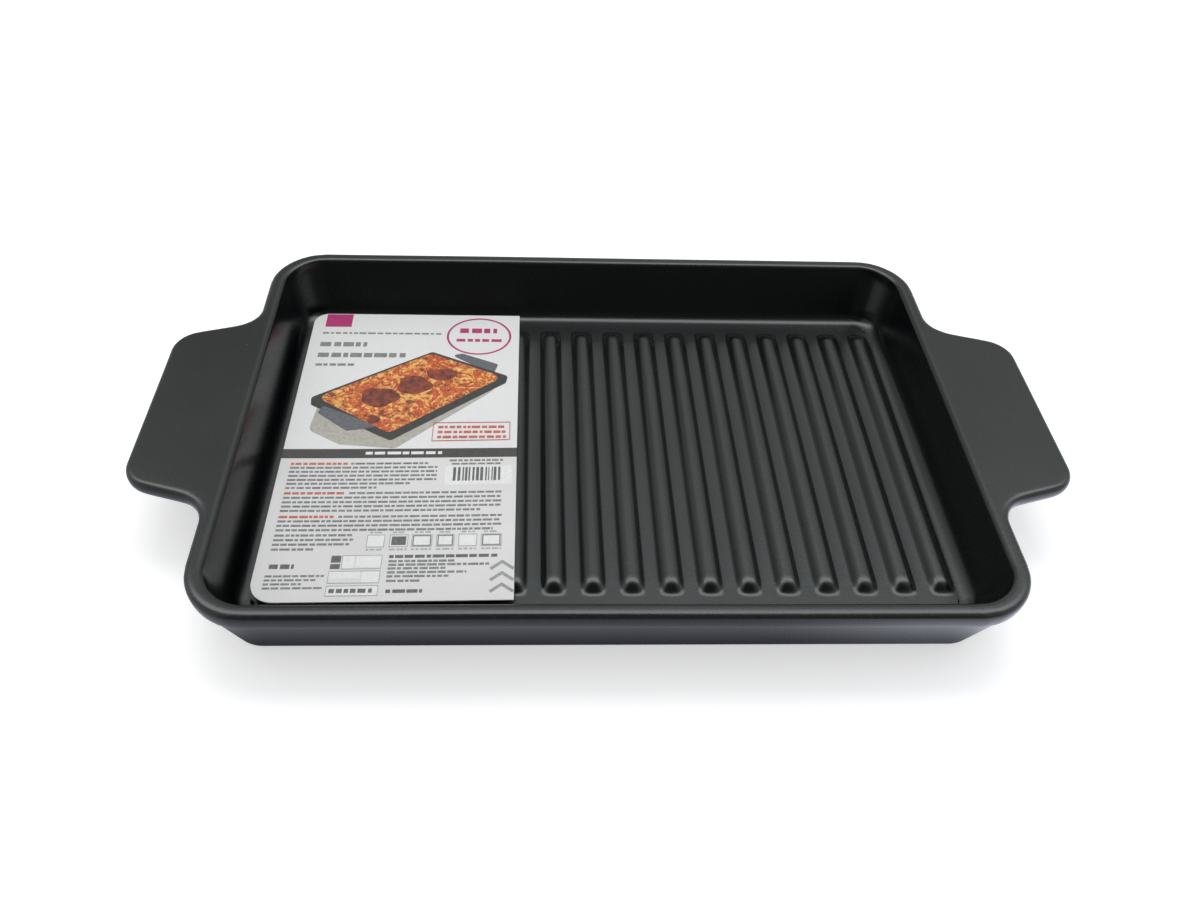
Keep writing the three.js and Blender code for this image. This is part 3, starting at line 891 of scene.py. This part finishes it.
def print_dark():
    """Stripes of random width, plain marks in some boxes, and the bolder rows."""
    dark = []
    u = 54.0
    while u < 69.2:
        stripe = draw.uniform(0.25, 0.9)
        dark.append(printed_block(u, 76.9, u + stripe, 82.6, 2))
        u += stripe + draw.uniform(0.3, 0.7)
    dark += [printed_block(37.7, 104.5, 41.9, 107.7, 2), printed_block(21.2, 111.4, 24.0, 113.9)]
    dark.append(printed_block(21.2, 114.4, 24.0, 116.2))
    for u0, u1 in BOXES[2:4] + BOXES[5:]:
        outline = box_outline(u0 + 0.4, BOX_BACK + 0.4, u1 - 0.4, BOX_FRONT - 0.4)
        dark.append(printed_line(outline, 0.3, 2, closed=True))
    dark += word_row(37.6, 68.6, 111.9, 1.1, 2.6, 0.5)
    dark += word_row(37.8, 48.0, 124.2, 1.2, 2.6, 0.5)
    dark += word_row(4.0, 11.0, 115.2, 1.6, 2.4, 0.5)
    dark += word_row(22.0, 34.0, 123.9, 1.4, 1.8, 0.6, 2)
    make_print("print_dark", dark, (0.07, 0.07, 0.07), (0.12, 0.12, 0.12))


def print_arrows():
    """Three chevrons, one over the other, that point to the back."""
    arrows = []
    for v in (114.2, 118.2, 122.2):
        arrows.append(printed_line([(66.8, v + 2.6), (70.1, v), (73.4, v + 2.6)], 1.0))
    make_print("print_arrows", arrows, (0.27, 0.27, 0.27), (0.34, 0.34, 0.34))


def make_food(parts):
    """Baked pasta in print: red sauce, yellow cheese and brown crust in blotches."""
    nodes = Nodes("print_food")
    big = nodes.noise(210.0, 3.0, 0.6, 2.5)
    small = nodes.noise(620.0, 4.0, 0.65, 1.5)
    sauce = nodes.mix(nodes.remap(small, 0.38, 0.60), rgb(0.26, 0.018, 0.004), rgb(0.78, 0.15, 0.012))
    cheese = nodes.mix(nodes.remap(small, 0.42, 0.62), rgb(0.76, 0.27, 0.02), rgb(0.92, 0.66, 0.20))
    mixed = nodes.mix(nodes.remap(big, 0.50, 0.58), sauce, cheese)
    crust = nodes.math("MULTIPLY", nodes.remap(nodes.noise(340.0, 3.0), 0.42, 0.34), 0.85)
    nodes.set(nodes.shader.inputs["Base Color"], nodes.mix(crust, mixed, rgb(0.10, 0.02, 0.006)))
    nodes.set(nodes.shader.inputs["Roughness"], nodes.remap(small, 0.3, 0.7, 0.4, 0.46))
    points, faces = joined(parts)
    make_piece("print_food", points, faces, [nodes.material], "label", smooth=False)


print_pink()
print_headings()
print_picture()
print_red()
print_band()
print_small()
print_white()
print_outlines()
print_dark()
print_arrows()


# ---------------------------------------------------------------- glue dots
def make_glue_dot(node, material):
    """A pressed drop of glue: a section of radius R |cos t|^0.35 and height h |sin t|^0.8, turned about its
    middle, with three slow waves round its edge."""
    low, high = box_mm(node)
    centre = (low + high) / 2
    radius = (high[0] - low[0]) / 2
    half = (high[2] - low[2]) / 2
    turn = np.linspace(0, 2 * math.pi, 41)[:-1]
    tilt = np.linspace(-math.pi / 2, math.pi / 2, 15)
    r = radius * np.abs(np.cos(tilt)) ** 0.35
    r[[0, -1]] = 0.02 * radius  # a small flat face closes each pole
    z = half * np.sign(np.sin(tilt)) * np.abs(np.sin(tilt)) ** 0.8
    wobble = 1 + 0.03 * np.sin(3 * turn + centre[0]) - 0.03
    x = centre[0] + r[:, None] * wobble * np.cos(turn)
    y = centre[1] + r[:, None] * wobble * np.sin(turn)
    points = np.stack([x, y, centre[2] + np.broadcast_to(z[:, None], x.shape)], axis=-1).reshape(-1, 3)
    count = len(turn)
    quads = grid_quads(len(tilt), count, wrap=True)[:, ::-1]
    lower_pole = np.arange(count)[::-1]
    upper_pole = (len(tilt) - 1) * count + np.arange(count)
    faces = quads.tolist() + [lower_pole.tolist(), upper_pole.tolist()]
    make_piece(node + "_drop", points, faces, [material], "label", [node])


glue = tacky_glue()
for dot in sorted(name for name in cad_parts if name.startswith("glue_dot")):
    make_glue_dot(dot, glue)


# ---------------------------------------------------------------- floor, light and camera
FLOOR_HALF = 12.0  # metres
FLOOR_DEPTH = 0.0001  # how far it lies under the foot
TENT_RADIUS = 1.9
CAMERA_PLACE = (-0.0225, -0.2302, 0.2428)
CAMERA_ANGLES = (3.82, 45.78, -3.07)  # turned to the right, tilted down, rolled


def make_floor():
    """A plain white floor that also glows a little, so that it stays white up to its shadows."""
    mesh = bpy.data.meshes.new("floor")
    corners = np.array([(-1, -1), (1, -1), (1, 1), (-1, 1)]) * FLOOR_HALF
    points = np.column_stack([corners, np.full(len(corners), -FLOOR_DEPTH)])
    mesh.from_pydata(points.tolist(), [], [(0, 1, 2, 3)])
    nodes = Nodes("floor_white")
    soft = nodes.noise(3.0, 2.0)
    pale = nodes.mix(nodes.remap(soft, 0.3, 0.7), rgb(0.93, 0.93, 0.93), rgb(0.95, 0.95, 0.95))
    nodes.set(nodes.shader.inputs["Base Color"], pale)
    nodes.shader.inputs["Emission Color"].default_value = rgb(1.0, 1.0, 1.0)
    nodes.shader.inputs["Emission Strength"].default_value = 0.44
    nodes.shader.inputs["Roughness"].default_value = 0.8
    mesh.materials.append(nodes.material)
    floor = bpy.data.objects.new("floor", mesh)
    bpy.context.scene.collection.objects.link(floor)


def make_light(name, place, size, power):
    """A soft panel that faces the dish and that reflections don't see."""
    lamp = bpy.data.lights.new(name, "AREA")
    lamp.shape = "RECTANGLE"
    lamp.size, lamp.size_y = size
    lamp.energy = power
    holder = bpy.data.objects.new(name, lamp)
    holder.visible_glossy = False
    bpy.context.scene.collection.objects.link(holder)
    away = np.array(place) / np.linalg.norm(place)
    side = np.cross([0.0, 1.0, 0.0], away)
    side = side / np.linalg.norm(side)
    holder.matrix_world = Matrix(np.column_stack([side, np.cross(away, side), away]).tolist()).to_4x4()
    holder.location = place


def make_world(strength):
    """Even light from all round."""
    world = bpy.data.worlds.new("soft_room")
    world.use_nodes = True
    background = world.node_tree.nodes["Background"]
    background.inputs["Color"].default_value = (0.98, 0.985, 1.0, 1.0)
    background.inputs["Strength"].default_value = strength
    bpy.context.scene.world = world


def make_reflected(name, points, faces, glow, colour):
    """A glowing surface that only reflections see."""
    mesh = bpy.data.meshes.new(name)
    mesh.from_pydata(points.reshape(-1, 3).tolist(), [], faces.tolist())
    layer = mesh.attributes.new("glow", "FLOAT", "POINT")
    layer.data.foreach_set("value", glow.ravel().astype(np.float32))
    nodes = Nodes(name + "_cloth")
    nodes.shader.inputs["Base Color"].default_value = rgb(0.0, 0.0, 0.0)
    nodes.shader.inputs["Specular IOR Level"].default_value = 0.0
    nodes.shader.inputs["Emission Color"].default_value = colour
    nodes.set(nodes.shader.inputs["Emission Strength"], nodes.attribute("glow"))
    mesh.materials.append(nodes.material)
    cloth = bpy.data.objects.new(name, mesh)
    cloth.visible_camera = False
    cloth.visible_diffuse = False
    cloth.visible_shadow = False
    bpy.context.scene.collection.objects.link(cloth)


def make_tent():
    """The soft tent round the set, as the glaze mirrors it: pale behind and at the sides, a bright strip
    overhead, dark in front. The tilt runs from 0 at the back over 90 overhead to 180 in front."""
    around = np.radians(np.linspace(0, 360, 91))
    above = np.radians(np.linspace(-3, 90, 63))
    turn, rise = np.meshgrid(around, above)
    x = np.sin(turn) * np.cos(rise)
    y = np.cos(turn) * np.cos(rise)
    z = np.sin(rise)
    tilt = np.degrees(np.arctan2(np.maximum(z, 0), y))
    behind = 0.62 + 0.58 * ramp(tilt, 30, 60)
    behind *= 1 - 0.27 * bell(x, -0.33, 0.14)  # a darker fold to the left
    behind += 0.42 * bell(tilt, 42, 9) * bell(x, 0.13, 0.19)  # a paler patch right of the middle
    strip = 3.6 * ramp(tilt, 58, 67) * ramp(tilt, 95, 87) * ramp(np.abs(x), 0.85, 0.55)
    from_front = np.degrees(np.abs(np.arctan2(x, -y)))
    front = 0.10 + 0.65 * ramp(from_front, 32, 65)
    glow = behind + (front - behind) * ramp(tilt, 88, 96) + strip
    points = np.stack([x, y, z], axis=-1) * TENT_RADIUS
    make_reflected("tent", points, grid_quads(*turn.shape), glow, rgb(0.95, 1.0, 0.99))


def make_painted_table_shade():
    """The table as the outer walls mirror it, painted into a glowing sheet that only reflections see: a
    painted shadow darkens it at the foot, and a painted pool of light brightens it towards the right. Each
    inset from the rim's outline has its own glow, and they run on past the handles to a metre out."""
    insets = [13, 10, 8, 6, 4, 2, 0, -3, -8, -20, -60, -200, -1000]
    # painted shadow: the glow is low at the foot and rises outwards
    painted_glows = [0.04, 0.07, 0.12, 0.20, 0.34, 0.52, 0.66, 0.72, 0.75, 0.76, 0.80, 0.85, 0.85]
    points = np.stack([level_ring(inset, -FLOOR_DEPTH / MM / 2) for inset in insets])
    # painted pool of light, brighter towards the right
    glow = np.array(painted_glows)[:, None] * (1 + 1.3 * ramp(points[:, :, 0], 40, 110))
    faces = grid_quads(len(insets), LOOP, wrap=True)
    make_reflected("painted_table_shade", points * MM, faces, glow, rgb(0.84, 0.87, 1.0))


def make_camera():
    """Stands in front of the dish and above it, and looks down across it."""
    heading, tilt, roll = (math.radians(angle) for angle in CAMERA_ANGLES)
    level = np.array([math.cos(heading), -math.sin(heading), 0.0])
    ahead = np.array([math.sin(heading), math.cos(heading), 0.0]) * math.cos(tilt)
    ahead[2] = -math.sin(tilt)
    down = np.cross(ahead, level)
    right = level * math.cos(roll) + down * math.sin(roll)
    up = -(down * math.cos(roll) - level * math.sin(roll))
    lens = bpy.data.cameras.new("camera")
    lens.sensor_width = 36.0
    lens.sensor_fit = "HORIZONTAL"
    lens.lens = 30.33
    lens.shift_x = 0.01725
    lens.clip_start = 0.01
    camera = bpy.data.objects.new("camera", lens)
    bpy.context.scene.collection.objects.link(camera)
    turn = np.column_stack([right, up, -ahead])
    camera.matrix_world = Matrix(turn.tolist()).to_4x4()
    camera.location = CAMERA_PLACE
    bpy.context.scene.camera = camera


make_floor()
make_world(0.62)
make_light("overhead_soft", (0.0, 0.36, 1.1), (0.8, 0.4), 3.2)
make_light("back_soft", (0.30, 1.1, 1.05), (2.4, 1.0), 1.3)
make_tent()
make_painted_table_shade()
make_camera()
bpy.context.scene.view_settings.view_transform = "Standard"
